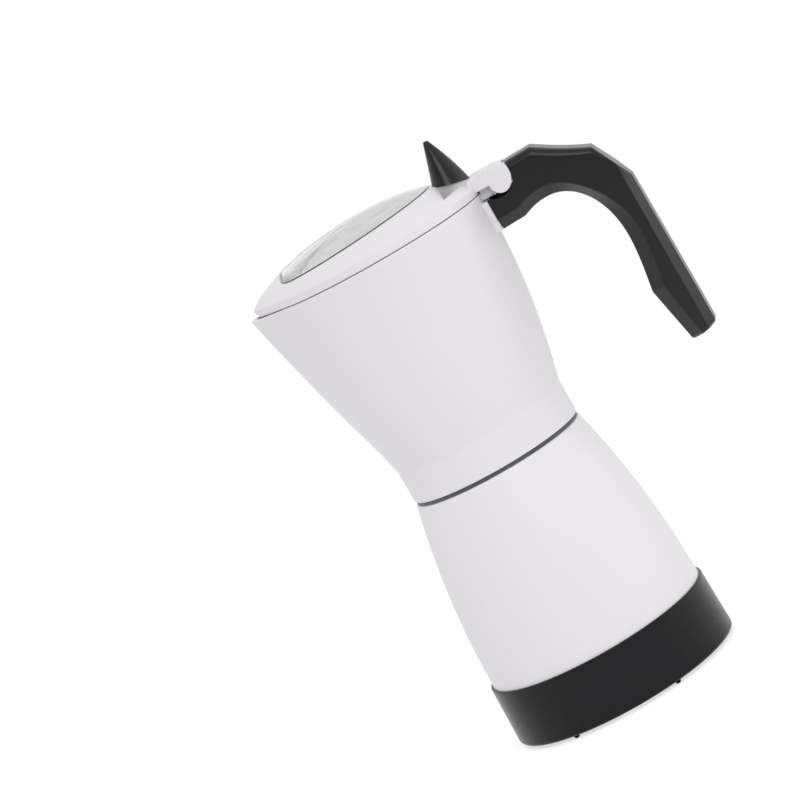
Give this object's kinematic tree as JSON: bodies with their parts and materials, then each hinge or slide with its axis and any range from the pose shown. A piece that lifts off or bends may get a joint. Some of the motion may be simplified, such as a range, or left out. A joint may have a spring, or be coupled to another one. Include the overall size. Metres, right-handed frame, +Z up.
{
  "type": "electric moka pot",
  "caption": "Electric moka pot: heated boiler on a base ring with a cordless socket, lift-out funnel, screw-on beaked pouring chamber, hinged lid with window and knob, open handle.",
  "frame": {"origin": "on the pot's axis at the mouth of the cordless socket, on the plane that the feet stand on", "axes": "+Z up along the pot's axis, -X towards the pouring beak, +X towards the handle"},
  "size_m": [0.1682, 0.104, 0.2405],
  "materials": {
    "painted_white": "smooth white paint, satin gloss",
    "black_plastic": "black moulded plastic, fine satin grain",
    "socket_plastic": "dark heat-resistant plastic",
    "rubber": "matte black rubber",
    "seam_ring": "dark grey ring in the seam",
    "clear_plastic": "clear moulded plastic",
    "window_seal": "dark grey rubber",
    "silicone": "milky silicone",
    "screw_steel": "zinc-plated steel",
    "spring_steel": "bright stainless steel",
    "sheet_steel": "pressed stainless sheet",
    "bare_aluminium": "bare aluminium",
    "heater_sheath": "oxidised heater tube",
    "phenolic": "brown phenolic",
    "brass": "brass",
    "wire_insulation": "silicone-sleeved wire"
  },
  "bodies": {
    "boiler_body": {"boiler": "painted_white", "base_ring": "black_plastic", "bottom_cover": "black_plastic", "feet": "rubber", "cover_screws": "screw_steel", "base_screws": "screw_steel", "connector_socket": "socket_plastic", "connector_contacts": "brass", "socket_screws": "screw_steel", "heating_plate": "bare_aluminium", "heating_element": "heater_sheath", "heater_screws": "screw_steel", "thermostat": "phenolic", "thermostat_bracket": "sheet_steel", "bracket_screws": "screw_steel", "thermal_fuse": "sheet_steel", "earth_tab": "brass", "heater_leads": "wire_insulation", "valve_body": "brass", "valve_washer": "silicone", "valve_spring": "spring_steel"},
    "valve_stem": {"valve_stem": "spring_steel"},
    "funnel": {"coffee_funnel": "bare_aluminium", "basket_plate": "sheet_steel"},
    "seal": {"chamber_gasket": "silicone", "filter_plate": "sheet_steel"},
    "neck_ring": {"neck_ring": "seam_ring"},
    "chamber": {"upper_chamber": "painted_white", "coffee_column": "bare_aluminium", "column_cap": "sheet_steel", "handle": "black_plastic", "handle_screw": "screw_steel", "hinge_pin": "spring_steel"},
    "lid": {"lid_shell": "painted_white", "lid_window": "clear_plastic", "window_gasket": "window_seal", "lid_knob": "black_plastic", "knob_screw": "screw_steel"}
  },
  "joints": [
    {"name": "valve_pop", "type": "slide", "parent": "boiler_body", "child": "valve_stem", "axis": [0, 1, 0], "range_m": [0, 0.0015], "stiffness_N_per_m": 1500, "springref_m": -0.002, "deforming": ["valve_spring"]},
    {"name": "funnel_lift", "type": "slide", "parent": "boiler_body", "child": "funnel", "axis": [0, 0, 1], "range_m": [0, 0.095]},
    {"name": "chamber_lift", "type": "slide", "parent": "funnel", "child": "seal", "axis": [0, 0, 1], "range_m": [0, 0.05]},
    {"name": "thread_rise", "type": "slide", "parent": "seal", "child": "neck_ring", "axis": [0, 0, 1], "range_m": [0, 0.0046]},
    {"name": "chamber_turn", "type": "hinge", "parent": "neck_ring", "child": "chamber", "pos_m": [0, 0, 0.1123], "axis": [0, 0, 1], "range_deg": [0, 540]},
    {"name": "lid_hinge", "type": "hinge", "parent": "chamber", "child": "lid", "pos_m": [0.0565, 0, 0.214], "axis": [0, 1, 0], "range_deg": [0, 92]}
  ],
  "couplings": [
    {"joint": "thread_rise", "follows": "chamber_turn", "m_per_rad": 0.00047746}
  ]
}
